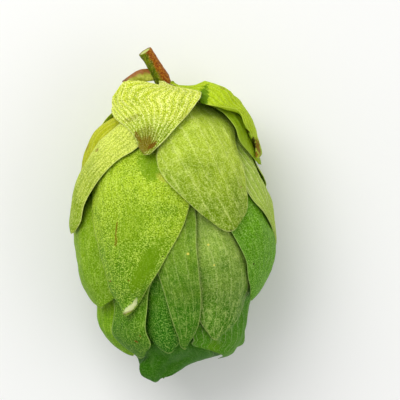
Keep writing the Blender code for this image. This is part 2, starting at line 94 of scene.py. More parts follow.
STALK_RINGS = 260
STALK_SIDES = 48
STALK_GROOVES = 7
GROOVE_DEPTH = 0.035
WARTS = (0.07, 0.8)     # the height and the size of the stalk's warts
CUT_RINGS = 8           # rings across the stalk's cut end
CUT_HOLLOW = 0.08       # how far the middle of that end is sunk
HAIR_REACH = 0.9        # the stalk is hairy above this station
HAIR_DENSITY = 26.0     # hairs on a square millimetre
HAIR_LENGTH = 0.3
HAIR_RADIUS = 0.022
HAIR_LEAN = 0.7         # how far a hair may lean over, in radians

ROLL_SHARE = 0.14       # the part of its width that a rolled edge takes
RIB_WIDTH = 2.2         # the width of a rib that runs at a slant
LUMPS = ((0.16, 4.5), (0.05, 1.3))  # the height and the size of a sheet's lumps
FACE_SIZE = 0.24        # the size that a sheet's faces have
COLUMN_LIMITS = (16, 90)
ROW_LIMITS = (30, 130)
DRAPE_SAMPLES = 110     # samples each way by which a sheet is entered in the relief
WAVES = 9               # the waves that a random lumpiness is made of

AZIMUTH_CELLS = 240
STATION_CELLS = 192
FIRST_STATION = -5.0
LAST_STATION = 43.0

# The bracts seen from the front. The rank puts them in order: a lower rank lies over a higher
# one. An edge is a row of (across, station) points from the base to the tip. Where a point is
# further across than the cone reaches there, the sheet runs on that much further round the side.
# The two colours are those of its upper and its lower end, as seen on a screen; the deeper
# lower end is partly its own green and partly painted shade, where the sheet turns from the
# light. A bulge is (across, station, reach, height), and a sheet's roll is how far its left and
# its right edge turn up. Its whiteness_and_sheen is how whitish its lighter spots are: partly
# their own pale speckle and partly a painted sheen of wet patches. Its felt is how dense its web
# of fine lines is.
FRONT_BRACTS = {
    "crown_front": dict(
        rank=9.0,
        left=((-3.0, 0.8), (-6.2, 1.3), (-8.4, 2.6), (-7.8, 4.2), (-6.0, 5.8), (-4.8, 7.3),
              (-4.3, 8.6)),
        right=((1.2, 0.75), (3.2, 1.1), (3.7, 1.8), (2.8, 3.2), (0.8, 5.6), (-0.9, 7.5),
               (-2.2, 8.8)),
        tip=(-3.3, 9.5), blunt=0.8, slot="young_bract", colours=((212, 226, 50), (150, 180, 4)),
        ribs=13, pleats=0.24, veins=0.35, speckle=0.9, whiteness_and_sheen=0.75, cup=0.5, roll=(0.0, 0.3),
        bulges=((-4.4, 1.1, 3.6, 1.4), (-6.8, 1.7, 2.2, 0.7))),
    "crown_right": dict(
        rank=9.2, lift=0.3,
        left=((3.2, 1.3), (4.1, 2.2), (4.5, 3.1), (5.9, 3.5), (7.8, 3.9), (8.7, 5.6), (9.5, 6.9),
              (10.1, 8.3)),
        right=((5.2, 0.9), (8.2, 1.6), (10.4, 2.8), (11.8, 4.2), (12.4, 5.9), (12.4, 7.3),
               (12.0, 8.3), (11.2, 9.2)),
        tip=(10.3, 9.9), blunt=0.4, slot="young_bract", colours=((176, 204, 26), (164, 190, 44)),
        ribs=11, pleats=0.2, veins=0.5, speckle=0.3, roll=(0.4, 0.0),
        bulges=((5.4, 1.2, 3.0, 1.5), (3.9, 2.2, 1.3, -0.9))),
    "shoulder_right": dict(
        rank=15.0,
        left=((5.0, 1.6), (6.9, 3.6), (8.0, 5.8), (8.7, 8.0)),
        right=((9.6, 2.0), (12.4, 4.2), (13.4, 6.6), (13.0, 8.9)),
        tip=(11.0, 10.6), slot="young_bract", colours=((134, 166, 6), (140, 170, 20)),
        pleats=0.08, veins=0.2, speckle=0.3),
    "upper_left": dict(
        rank=16.0, lift=0.7,
        left=((-7.0, 4.4), (-8.0, 5.8), (-8.8, 6.9), (-9.7, 8.1), (-11.1, 10.4), (-12.2, 12.6),
              (-12.7, 15.2), (-12.6, 17.6)),
        right=((-3.4, 4.4), (-3.3, 6.0), (-3.9, 7.4), (-5.2, 8.6), (-7.8, 10.8), (-9.6, 13.0),
               (-11.0, 15.8), (-11.3, 18.0)),
        tip=(-11.9, 19.2), blunt=0.7, slot="young_bract", colours=((212, 226, 84), (126, 156, 6)),
        pleats=0.14, veins=0.1, speckle=0.5, whiteness_and_sheen=0.4, cup=0.4),
    "upper_right": dict(
        rank=18.5,
        left=((0.9, 2.6), (-1.0, 4.6), (-1.9, 7.4), (-2.1, 9.8), (-1.1, 12.2), (2.0, 15.5),
              (3.9, 17.5)),
        right=((7.4, 2.6), (8.7, 4.4), (8.8, 7.4), (9.1, 10.6), (9.5, 13.6), (9.6, 16.0),
               (9.3, 17.4)),
        tip=(6.9, 18.9), blunt=4.2, slot="pale_bract", colours=((178, 202, 56), (108, 140, 10)),
        ribs=7, veins=0.35, speckle=0.35, slant=0.55, felt=0.7, whiteness_and_sheen=0.35, cup=0.5),
    "shoulder_left": dict(
        rank=19.5,
        left=((-8.8, 3.0), (-11.6, 5.2), (-13.8, 8.4), (-14.4, 11.4)),
        right=((-6.0, 3.6), (-8.0, 6.6), (-9.2, 9.6), (-10.9, 12.2)),
        tip=(-13.0, 14.2), blunt=1.0, slot="young_bract", colours=((184, 190, 30), (160, 172, 24)),
        pleats=0.14, veins=0.3, speckle=0.4),
    "side_right": dict(
        rank=21.0, lift=0.3,
        left=((5.4, 4.6), (7.2, 8.0), (8.6, 11.2), (9.8, 13.8), (11.0, 16.0), (12.0, 17.8)),
        right=((11.6, 4.6), (14.6, 8.0), (16.8, 11.6), (17.6, 14.8), (16.8, 17.6), (15.2, 19.4)),
        tip=(13.2, 20.6), blunt=0.8, slot="pale_bract", colours=((150, 178, 60), (164, 192, 76)),
        ribs=15, pleats=0.22, veins=1.0, speckle=0.2, whiteness_and_sheen=0.4),
    "middle_left": dict(
        rank=25.0,
        left=((-7.4, 6.8), (-10.9, 10.6), (-10.9, 14.6), (-10.3, 18.2), (-9.5, 21.6), (-8.6, 24.8),
              (-7.5, 27.6)),
        right=((0.4, 6.8), (2.4, 10.8), (2.6, 14.4), (1.2, 18.6), (-0.5, 21.6), (-2.2, 24.6),
               (-3.9, 27.6)),
        tip=(-5.6, 29.3), blunt=1.3, colours=((174, 204, 38), (84, 136, 2)),
        veins=0.0, speckle=1.0, whiteness_and_sheen=0.22, cup=0.7,
        bulges=((-5.2, 28.7, 1.8, 0.5),)),
    "middle_right": dict(
        rank=27.3, lift=0.15,
        left=((6.4, 9.6), (6.6, 13.6), (7.1, 17.6), (8.3, 20.6), (9.2, 22.8), (9.4, 25.2)),
        right=((13.4, 9.4), (17.0, 13.4), (18.0, 17.8), (17.0, 21.4), (14.6, 24.2), (12.0, 26.3)),
        tip=(9.6, 27.4), blunt=1.2, colours=((104, 160, 4), (84, 144, 2)),
        ribs=11, pleats=0.06, veins=0.1, speckle=0.9, whiteness_and_sheen=0.22, bulges=((12.6, 21.0, 5.5, 0.4),)),
    "lower_left": dict(
        rank=28.4,
        left=((-13.0, 9.0), (-16.4, 14.0), (-16.6, 19.2), (-14.8, 23.0), (-12.4, 25.8),
              (-10.4, 27.5)),
        right=((-6.0, 9.0), (-6.0, 15.0), (-6.4, 20.0), (-6.9, 24.0), (-7.3, 26.6), (-7.8, 27.9)),
        tip=(-8.9, 28.4), blunt=1.0, colours=((140, 174, 18), (110, 154, 4)),
        veins=0.1, speckle=0.7, whiteness_and_sheen=0.2),
    "lower_middle": dict(
        rank=30.2,
        left=((-1.0, 12.2), (-2.4, 17.0), (-3.0, 21.4), (-1.9, 24.8), (-0.6, 28.2), (0.3, 31.0),
              (0.8, 32.4)),
        right=((2.9, 12.2), (3.3, 17.0), (3.1, 21.2), (3.4, 24.8), (3.6, 28.4), (3.0, 31.4),
               (2.3, 32.7)),
        tip=(1.5, 33.4), blunt=0.8, slot="pale_bract", colours=((128, 160, 42), (56, 112, 2)),
        ribs=4, veins=0.35, speckle=0.35, felt=0.5, whiteness_and_sheen=0.18, cup=0.35),
    "lower_right": dict(
        rank=32.2,
        left=((2.0, 13.4), (1.8, 17.6), (2.1, 21.2), (2.6, 24.8), (3.2, 28.4), (4.0, 31.0)),
        right=((7.2, 13.4), (8.8, 17.8), (10.2, 21.6), (10.4, 25.0), (9.1, 28.4), (7.4, 31.2)),
        tip=(5.3, 32.3), blunt=1.4, slot="pale_bract", colours=((152, 180, 72), (64, 116, 4)),
        ribs=5, veins=0.35, speckle=0.35, felt=0.6, whiteness_and_sheen=0.24, cup=0.45),
    "low_left": dict(
        rank=33.4,
        left=((-8.0, 19.0), (-9.1, 23.6), (-8.6, 27.4), (-7.9, 30.6), (-6.9, 32.7)),
        right=((-2.0, 18.6), (-2.2, 24.0), (-3.4, 28.2), (-3.3, 31.4), (-2.4, 33.6)),
        tip=(-3.9, 34.6), blunt=2.2, colours=((126, 168, 4), (62, 114, 2)),
        veins=0.15, speckle=0.6, whiteness_and_sheen=0.2),
    "low_side_left": dict(
        rank=34.6,
        left=((-13.0, 19.0), (-14.2, 24.0), (-12.6, 28.0), (-11.0, 31.2), (-8.6, 33.3)),
        right=((-6.6, 19.0), (-5.6, 24.4), (-4.6, 28.6), (-4.0, 31.8), (-4.4, 33.9)),
        tip=(-5.1, 34.5), blunt=1.2, colours=((156, 192, 14), (96, 144, 4)),
        pleats=0.08, veins=0.4, speckle=0.4),
    "low_right": dict(
        rank=34.9, lift=-0.2,
        left=((3.0, 19.0), (2.4, 24.6), (2.4, 28.6), (2.5, 31.4), (2.9, 33.0), (3.6, 34.0)),
        right=((11.6, 19.0), (14.2, 24.2), (12.6, 28.0), (11.0, 31.2), (9.6, 33.0), (7.8, 34.2)),
        tip=(5.4, 34.9), blunt=1.6, slot="deep_bract", colours=((56, 118, 2), (72, 128, 4)),
        ribs=11, pleats=0.08, veins=0.6, speckle=0.3, whiteness_and_sheen=0.25, bulges=((9.4, 32.9, 2.0, 0.5),)),
    "low_middle": dict(
        rank=36.0,
        left=((-3.8, 19.6), (-4.8, 25.0), (-4.6, 29.2), (-3.8, 31.9), (-2.8, 33.2)),
        right=((1.6, 19.6), (2.0, 25.0), (2.4, 29.2), (2.6, 31.9), (2.0, 33.3)),
        tip=(-0.4, 34.0), blunt=2.6, slot="deep_bract", colours=((112, 164, 2), (44, 106, 2)),
        veins=0.05, speckle=0.7, whiteness_and_sheen=0.2),
    "bottom": dict(
        rank=38.0,
        left=((-4.6, 26.0), (-6.4, 31.0), (-6.4, 33.4), (-5.2, 35.2), (-3.6, 36.8)),
        right=((3.6, 26.0), (5.6, 31.0), (6.4, 33.2), (4.4, 34.8), (0.8, 36.6)),
        tip=(-1.9, 37.6), blunt=1.6, slot="deep_bract", colours=((48, 108, 2), (54, 108, 2)),
        veins=0.05, speckle=0.4, bulges=((-3.2, 36.2, 2.8, 0.8),)),
}

# Marks on the bracts: (across, station, turn, half length, half width, tone, strength).
MARKS = {
    "crown_front": (
        (-3.4, 7.8, 70, 2.3, 1.6, "olive", 0.6), (-3.4, 8.2, 60, 1.4, 0.8, "brown", 0.5),
        (-2.5, 8.3, 40, 0.8, 0.3, "brown", 0.8), (-4.3, 7.2, 120, 0.8, 0.3, "brown", 0.6),
        (1.6, 4.6, 50, 1.6, 0.5, "olive", 0.3), (-5.0, 4.9, 20, 1.2, 0.4, "olive", 0.4)),
    "crown_right": (
        # The first mark is painted shade in the hollow beside the raised fold.
        # The two dark lines are creases, drawn as the painted shade in those folds.
        (3.8, 2.2, 78, 1.7, 0.75, "hollow_shade", 0.9), (8.95, 6.3, -32, 0.75, 0.2, "dark", 0.9),
        (10.1, 7.9, -79, 0.95, 0.25, "dark", 0.95), (10.6, 8.4, 100, 1.3, 0.28, "brown", 0.85),
        (10.2, 9.5, 60, 0.7, 0.4, "brown", 0.9), (6.1, 1.1, 150, 0.5, 0.15, "brown", 0.4)),
    "shoulder_left": (
        (-10.2, 6.5, 60, 0.5, 0.2, "brown", 0.6), (-10.6, 8.4, 70, 0.6, 0.15, "brown", 0.4)),
    "upper_left": ((-9.4, 8.8, 50, 0.35, 0.2, "brown", 0.5),),
    "upper_right": (
        (7.2, 18.7, 0, 0.14, 0.1, "dark", 1.0), (7.5, 19.0, 0, 0.16, 0.1, "dark", 1.0),
        (8.1, 18.75, 0, 0.13, 0.1, "dark", 0.9), (8.4, 13.4, 20, 0.2, 0.1, "brown", 0.6)),
    "middle_left": (
        (-6.9, 18.6, 83, 1.3, 0.12, "brown", 0.75), (-6.95, 20.1, 80, 0.7, 0.2, "brown", 0.55),
        (-10.3, 16.4, 95, 0.9, 0.2, "brown", 0.4), (-1.2, 21.9, 0, 0.14, 0.12, "dark", 1.0),
        (-7.7, 25.0, 0, 0.13, 0.12, "brown", 0.9), (-5.4, 24.9, 0, 0.12, 0.1, "brown", 0.9),
        (-5.3, 28.4, 38, 1.1, 0.4, "underside", 0.9), (-4.6, 27.6, 70, 0.6, 0.25, "underside", 0.8),
        (-5.6, 28.9, 20, 0.9, 0.2, "brown", 0.4),
        # Painted shade: under the tips of the bracts above, along the right edge and lower part,
        # and over the middle.
        (-2.9, 10.9, 110, 2.2, 1.5, "shade", 0.7), (-3.2, 23.2, 60, 4.2, 1.2, "shade", 0.8),
        (-5.0, 18.0, 80, 4.0, 2.0, "shade", 0.35),
        (-1.2, 12.3, 150, 1.0, 0.5, "yellow", 0.3)),
    "middle_right": ((10.0, 22.9, 0, 0.15, 0.13, "dark", 1.0),),
    "lower_middle": ((1.9, 21.6, 0, 0.2, 0.16, "yellow", 0.8),),
    "lower_right": (
        (4.4, 20.5, 0, 0.16, 0.14, "yellow", 0.8), (5.1, 23.0, 0, 0.14, 0.12, "yellow", 0.8)),
    "low_left": (
        (-4.5, 32.5, 150, 0.3, 0.1, "brown", 0.9), (-4.0, 31.8, 130, 0.22, 0.08, "brown", 0.9)),
    # A painted highlight on the lit corner, in the shade tone, which is lighter than this bract.
    "low_right": ((5.0, 33.4, 60, 1.6, 0.8, "shade", 0.3),),
}

# The bracts round the back stand in tiers, each tier turned half a step from the one above.
BACK_TIERS = (  # (station of the tips, azimuths, width as a share, lift of the tips)
    (9.5, (137.0, 180.0, 223.0), 0.95, 0.0),
    (14.5, (121.0, 161.0, 201.0, 241.0), 1.0, 0.0),
    (19.3, (137.0, 181.0, 225.0), 1.0, 0.2),
    (24.0, (121.0, 161.0, 201.0, 241.0), 1.0, 0.4),
    (28.6, (137.0, 181.0, 225.0), 1.0, 0.3),
    (32.0, (121.0, 161.0, 201.0, 241.0), 1.0, 0.0),
    (34.5, (128.0, 181.0, 234.0), 0.8, 0.0),
    (37.8, (150.0, 210.0), 1.0, 0.0),
    (37.3, (72.0, 288.0), 1.0, 0.0),
)
TIER_STAGGER = -0.3
BACK_LENGTH = 14.0
BACK_DELAY = 5.0        # how much later in the order the bracts round the back come
BACK_HALF_WIDTH = 6.6
BACK_TOP_WIDTH = 0.3    # its width at the top of the sheet, as a share of its widest
BACK_NECK = 1.2         # the least length of its claw
BACK_FRACTIONS = (0.0, 0.2, 0.4, 0.6, 0.8, 0.92)
BACK_ROUNDNESS = 2.4    # how full the sheet stays towards its tip, as a power
BACK_FULLNESS = 0.7     # how far its width follows the cone's, as a power
BACK_WRAP = 0.55        # the least radius that its width is wrapped round, as a share of that width
BACK_VARIATION = 0.06
BACK_TURN = 3.0
BACK_LEAN = 4.0
SEED = 11

STIPULE_ROUTE = ((-2.5, -0.65, 0.7), (-3.9, -0.5, 0.95), (-5.1, -0.1, 0.9), (-6.3, 0.3, 0.7))
STIPULE_HALF_WIDTHS = (0.75, 0.8, 0.55, 0.14)
STIPULE_FOLD = 0.25     # how far its two edges hang down
CRINKLES = (0.3, 1.1)   # the height and the size of its crinkles

# The picture: its middle, as (across, station), and the width that it takes in.
PICTURE_MIDDLE = (3.375, 15.0)
PICTURE_WIDTH = 50.0
CAMERA_DISTANCE = 600.0
SENSOR = 36.0


def smooth(knots, values, at):
    """A curve through the values, piecewise cubic, with slopes from the neighbours."""
    knots = np.asarray(knots, float)
    values = np.asarray(values, float)
    slopes = np.gradient(values, knots)
    at = np.clip(at, knots[0], knots[-1])
    i = np.clip(np.searchsorted(knots, at, side="right") - 1, 0, len(knots) - 2)
    step = knots[i + 1] - knots[i]
    t = (at - knots[i]) / step
    rising = t * t * (3 - 2 * t)
    return ((1 - rising) * values[i] + rising * values[i + 1]
            + step * (t * (1 - t) ** 2 * slopes[i] - t * t * (1 - t) * slopes[i + 1]))


def ease(low, high, value):
    """0 below low and 1 above high, with a soft start and end."""
    t = np.clip((value - low) / (high - low), 0, 1)
    return t * t * (3 - 2 * t)


def unevenness(x, y, size, seed):
    """Soft random lumps of about one size, between 0 and 1."""
    chance = np.random.default_rng(seed)
    total = 0.0
    for _ in range(WAVES):
        angle, phase = chance.uniform(0, 2 * math.pi, 2)
        length = size * chance.uniform(0.7, 1.8)
        along = x * math.cos(angle) + y * math.sin(angle)
        total = total + np.sin(along * 2 * math.pi / length + phase)
    return np.clip(0.5 + total / math.sqrt(WAVES) / 3, 0, 1)


# ---------------------------------------------------------------- where the sheets lie

def round_radius(station):
    """The cone's radius before its back is pressed flat."""
    return smooth(*zip(*CONE_PROFILE), station)


def cone_form(azimuth, station):
    """The outer form's radius and its slope down the cone."""
    radius = round_radius(station)
    above, below = round_radius(station - SLOPE_STEP), round_radius(station + SLOPE_STEP)
    slope = (below - above) / (2 * SLOPE_STEP)
    behind = np.maximum(-np.cos(np.radians(azimuth)), 1e-3)
    flat = BACK_FLAT / behind
    pressed = (radius ** -FLAT_SOFTNESS + flat ** -FLAT_SOFTNESS) ** (-1 / FLAT_SOFTNESS)
    return pressed, slope


def place(azimuth, station, height, rise):
    """Points at a height over the outer form; a rise below 1 draws them in to the strig."""
    radius, slope = cone_form(azimuth, station)
    tilt = np.sqrt(1 + slope * slope)
    radius = radius + height / tilt
    along = station - height * slope / tilt * rise
    strig_stations, strig_across, strig_height, _ = zip(*STALK_ROUTE)
    middle = smooth(*zip(*CONE_AXIS), along)
    claw = smooth(strig_stations, strig_across, along)
    claw_height = smooth(strig_stations, strig_height, along)
    sideways, up = np.sin(np.radians(azimuth)), np.cos(np.radians(azimuth))
    x = (claw + CLAW_RADIUS * sideways) * (1 - rise) + (middle + radius * sideways) * rise
    z = (claw_height + CLAW_RADIUS * up) * (1 - rise) + radius * up * rise
    return np.stack((x, -along, z), axis=-1)


def azimuth_of(across, station):
    """The azimuth of a point seen at a distance across the front, or further round the side."""
    radius = round_radius(station)
    across = across - smooth(*zip(*CONE_AXIS), station)
    front = np.degrees(np.arcsin(np.clip(across / radius, -1, 1)))
    beyond = np.sign(across) * np.degrees(np.maximum(np.abs(across) - radius, 0) / radius)
    return front + beyond


def claw_station(rank):
    return CROWN_CLAW + CLAW_CROWDING * (rank - CROWN_RANK) ** 2


def flare(claw):
    """How quickly a sheet spreads outwards from its claw, as a length down the strig."""
    return min(CLAW_FLARE, CROWN_FLARE + FLARE_GROWTH * (claw - CROWN_CLAW))


PLAIN_FORM = dict(
    lift=0.0, cup=0.25, roll=(0.0, 0.0), bulges=(), slot="green_bract", ribs=9, slant=None,
    pleats=0.05, felt=0.0, whiteness_and_sheen=0.12)


def half_turn(width, azimuth, station):
    """Half of a width, as an angle round the cone."""
    return math.degrees(width / 2 / max(cone_form(azimuth, station)[0], LEAST_RADIUS))


def outline_through(rank, middle, rows, tip, tip_turn, **form):
    """Both edges, as azimuths and stations at knots that run from the claw to the tip."""
    claw = claw_station(rank)
    edges = []
    for row, side in zip(rows, (-1, 1)):
        row = [(middle + side * CLAW_SPREAD, claw), *row, (tip[0] + side * tip_turn, tip[1])]
        edges.append(tuple(zip(*row)))
    left, right = edges
    middles = (np.array(left[1]) + np.array(right[1])) / 2
    knots = (middles - middles[0]) / (middles[-1] - middles[0])
    form = dict(PLAIN_FORM, **form)
    return dict(form, rank=rank, claw=claw, knots=knots, left=left, right=right)


def front_outline(rank, left, right, tip, blunt=TIP_WIDTH, **form):
    """The outline of a bract whose edges are seen from the front."""
    rows = [[(azimuth_of(*point), point[1]) for point in points] for points in (left, right)]
    middle = np.mean([row[0][0] for row in rows])
    tip = (azimuth_of(*tip), tip[1])
    return outline_through(rank, middle, rows, tip, half_turn(blunt, *tip), blunt=blunt, **form)


def back_outline(azimuth, tip, share, lift, chance):
    """An ovate bract round the back, pointed at its tip."""
    rank = tip + BACK_DELAY
    claw = claw_station(rank)
    fullness = (cone_form(azimuth, tip - BACK_LENGTH / 3)[0] / BACK_FLAT) ** BACK_FULLNESS
    length = BACK_LENGTH * fullness
    top = max(tip - length, claw + BACK_NECK)
    top_width = BACK_TOP_WIDTH + 1 - (tip - top) / length
    variation = chance.uniform(-BACK_VARIATION, BACK_VARIATION)
    half_width = BACK_HALF_WIDTH * share * fullness * (1 + variation)
    azimuth += chance.uniform(-BACK_TURN, BACK_TURN)
    lean = chance.uniform(-BACK_LEAN, BACK_LEAN)
    rows = [], []
    for row, side in zip(rows, (-1, 1)):
        for fraction in BACK_FRACTIONS:
            station = top + (tip - top) * fraction
            swell = top_width + (1 - top_width) * math.sin(math.pi * min(fraction, 0.5))
            swell = min(swell, math.sqrt(1 - max(0.0, 2 * fraction - 1) ** BACK_ROUNDNESS))
            radius = max(cone_form(azimuth, station)[0], BACK_WRAP * half_width)
            turn = math.degrees(half_width * swell / radius)
            row.append((azimuth + lean * fraction + side * turn, station))
    tip_turn = half_turn(TIP_WIDTH, azimuth, tip)
    return outline_through(rank, azimuth, rows, (azimuth + lean, tip), tip_turn, lift=lift,
                           blunt=TIP_WIDTH, pleats=0.08, veins=0.2, speckle=0.5)


def bract_outlines():
    """Every bract's name and outline, from the lowest rank at the crown to the highest."""
    chance = random.Random(SEED)
    outlines = {name: front_outline(**bract) for name, bract in FRONT_BRACTS.items()}
    for tier, (tips, azimuths, share, lift) in enumerate(BACK_TIERS, 1):
        for number, azimuth in enumerate(azimuths, 1):
            tip = tips + TIER_STAGGER * (number % 2)
            outline = back_outline(azimuth, tip, share, lift, chance)
            outline.update(back_finish(tier))
            outlines[f"back_{tier}_{number}"] = outline
    return dict(sorted(outlines.items(), key=lambda item: item[1]["rank"]))


def back_finish(tier):
    """The slot and the colours of a tier round the back: yellow at the crown, deep at the tip."""
    share = (tier - 1) / (len(BACK_TIERS) - 1)
    upper = toned((208, 222, 84), 1.0, (62, 116, 12), share)
    lower = toned((160, 186, 44), 1.0, (54, 108, 10), share)
    slot = "young_bract" if tier <= 2 else "deep_bract" if tier >= 6 else "green_bract"
    return dict(slot=slot, colours=(upper, lower))


def sheet_grid(outline, down, across):
    """Azimuths and stations of a sheet's grid; down and across run from 0 to 1."""
    edges = []
    for azimuths, stations in (outline["left"], outline["right"]):
        knots = outline["knots"]
        edges.append((smooth(knots, azimuths, down), smooth(knots, stations, down)))
    (left_azimuth, left_station), (right_azimuth, right_station) = edges
    across = across[None, :]
    azimuth = left_azimuth[:, None] * (1 - across) + right_azimuth[:, None] * across
    station = left_station[:, None] * (1 - across) + right_station[:, None] * across
    rounding = TIP_ROUNDING * outline["blunt"] * (2 * across - 1) ** 2
    return azimuth, station - rounding * down[:, None] ** 8


def gather(field, reach, combine):
    """Combine each cell of the relief with the cells around it, round the cone and along it."""
    for axis in (0, 1):
        field = combine([np.roll(field, shift, axis) for shift in range(-reach, reach + 1)], axis=0)
    return field


def emerging(relief):
    """The lowest surface under the relief that never rises faster than the emergence slope."""
    cell_length = (LAST_STATION - FIRST_STATION) / STATION_CELLS
    stations = FIRST_STATION + np.arange(STATION_CELLS) * cell_length
    radius = np.maximum(round_radius(stations), LEAST_RADIUS)[None, :]
    around = EMERGENCE * radius * 2 * math.pi / AZIMUTH_CELLS
    along = EMERGENCE * cell_length
    for _ in range(EMERGENCE_REACH):
        for axis, rise in ((0, around), (1, along)):
            for shift in (-1, 1):
                relief = np.minimum(relief, np.roll(relief, shift, axis) + rise)
    return gather(gather(relief, SOFTENING, np.min), SOFTENING, np.mean)


def cells_of(azimuth, station):
    column = np.mod(azimuth, 360) / 360 * AZIMUTH_CELLS
    row = (station - FIRST_STATION) / (LAST_STATION - FIRST_STATION) * STATION_CELLS
    return column, np.clip(row, 0, STATION_CELLS - 2)


def relief_at(cover, azimuth, station):
    """The height of the relief at any point, between its cells."""
    column, row = cells_of(azimuth, station)
    c, r = column.astype(int), row.astype(int)
    u, v = column - c, row - r
    c0, c1 = c % AZIMUTH_CELLS, (c + 1) % AZIMUTH_CELLS
    upper = cover[c0, r] * (1 - u) + cover[c1, r] * u
    lower = cover[c0, r + 1] * (1 - u) + cover[c1, r + 1] * u
    return upper * (1 - v) + lower * v


def rib_lines(outline, azimuth, station, across):
    """How far across the ribs a point is: a whole number on each rib."""
    along_edges = outline["ribs"] * (across[None, :] - 0.5)
    slant = outline["slant"]
    if slant is None:
        return along_edges + 0 * station
    radius = round_radius(station)
    sideways = np.radians(azimuth) * radius
    return (sideways - slant * station) / RIB_WIDTH


def rolled(roll, across):
    """How far a sheet's left and right edges turn up."""
    left = np.clip(1 - across / ROLL_SHARE, 0, 1) ** 2
    right = np.clip(1 - (1 - across) / ROLL_SHARE, 0, 1) ** 2
    return (roll[0] * left + roll[1] * right)[None, :]


def bulging(azimuth, station, bulge_across, bulge_station, reach, height):
    """A soft swelling of the outer form round one place on it."""
    centre = place(azimuth_of(bulge_across, bulge_station), bulge_station, 0, 1)
    distance = np.linalg.norm(place(azimuth, station, 0, 1) - centre, axis=-1)
    return height * np.clip(1 - (distance / reach) ** 2, 0, 1) ** 2


def sheet_height(cover, outline, azimuth, station, down, across):
    """The middle of the sheet's thickness: on the outer form, or under what covers it."""
    edge = np.abs(2 * across[None, :] - 1)
    tuck = outline["cup"] * edge ** 2.5
    lift = outline["lift"] * down[:, None] ** 3
    lift = lift + rolled(outline["roll"], across) * np.sin(math.pi * down[:, None])
    for bulge in outline["bulges"]:
        lift = lift + bulging(azimuth, station, *bulge)
    ribs = rib_lines(outline, azimuth, station, across)
    valley = 1 - np.abs(np.cos(math.pi * ribs))
    fading = ease(0.0, 0.12, 1 - edge) * ease(0.0, 0.25, 1 - down[:, None])
    grooves = outline["pleats"] * valley * fading
    sideways = np.radians(azimuth) * cone_form(azimuth, station)[0]
    lumps = 0
    for seed, (depth, size) in enumerate(LUMPS, outline["seed"]):
        lumps = lumps + depth * unevenness(sideways, station, size, seed) * fading
    free = relief_at(cover, azimuth, station) - CLEARANCE - THICKNESS / 2
    return free - tuck - grooves - lumps + lift


def laid_sheets(outlines):
    """Each bract's grid of points, laid from the crown down to the tip."""
    relief = np.full((AZIMUTH_CELLS, STATION_CELLS), CLEARANCE + PLAIN_SURFACE)
    fine = np.linspace(0, 1, DRAPE_SAMPLES)
    sheets = {}
    for number, (name, outline) in enumerate(outlines.items()):
        outline["seed"] = 100 + 10 * number
        cover = emerging(relief)
        rows, columns = mesh_counts(outline)
        down, across = np.linspace(0, 1, rows), np.linspace(0, 1, columns)
        azimuth, station = sheet_grid(outline, down, across)
        height = sheet_height(cover, outline, azimuth, station, down, across)
        rise = np.clip(1 - np.exp(-(station - outline["claw"]) / flare(outline["claw"])), 0, 1)
        sheets[name] = dict(
            points=place(azimuth, station, height, rise),
            ribs=rib_lines(outline, azimuth, station, across),
            station=station,
            down=down[:, None] + 0 * station,
            # How deep the sheet lies under the bracts over it: the mask of its painted shade.
            shade_under_cover=ease(0.5, 1.6, PLAIN_SURFACE - relief_at(cover, azimuth, station)),
        )
        azimuth, station = sheet_grid(outline, fine, fine)
        underside = sheet_height(cover, outline, azimuth, station, fine, fine) - THICKNESS / 2
        column, row = cells_of(azimuth, station)
        cells = (np.rint(column).astype(int) % AZIMUTH_CELLS, np.rint(row).astype(int))
        np.minimum.at(relief, cells, underside)
    return sheets


def mesh_counts(outline):
    """Rows and columns that give the sheet faces of about the fine size."""
    azimuth, station = sheet_grid(outline, np.linspace(0, 1, 20), np.array([0.0, 1.0]))
    spread = np.radians(azimuth[:, 1] - azimuth[:, 0]) * cone_form(azimuth[:, 0], station[:, 0])[0]
    length = outline["knots"][-1] * (station[-1, 0] - outline["claw"])
    columns = int(np.clip(float(np.max(spread)) / FACE_SIZE, *COLUMN_LIMITS))
    rows = int(np.clip(length / FACE_SIZE, *ROW_LIMITS))
    return rows, columns


# ---------------------------------------------------------------- materials

def put(tree, socket, value):
    """Give a node's input a value, or link it to another node's output."""
    if isinstance(value, Socket):
        value = value.output
    if isinstance(value, bpy.types.NodeSocket):
        tree.links.new(value, socket)
    elif isinstance(value, tuple) and len(value) == 3 and socket.type == "RGBA":
        socket.default_value = (*value, 1)
    else:
        socket.default_value = value


def add_node(tree, kind, settings, inputs):
    """Add a node to a tree; what comes back is its outputs."""
    made = tree.nodes.new(kind)
    for name, value in settings.items():
        setattr(made, name, value)
    for key, value in inputs.items():
        put(tree, made.inputs[key], value)
    return made.outputs


def sum_of(operation, swapped=False):
    """A method that works out one sum with two values in a material."""
    def method(self, other):
        first, second = (other, self) if swapped else (self, other)
        return self.finish.node("ShaderNodeMath", {"operation": operation}, {0: first, 1: second})
    return method


class Socket:
    """One value or colour in a material, which plain arithmetic can use."""

    def __init__(self, finish, output):
        self.finish = finish
        self.output = output

    __add__ = __radd__ = sum_of("ADD")
    __mul__ = __rmul__ = sum_of("MULTIPLY")
    __sub__ = sum_of("SUBTRACT")
    __rsub__ = sum_of("SUBTRACT", swapped=True)
    __pow__ = sum_of("POWER")


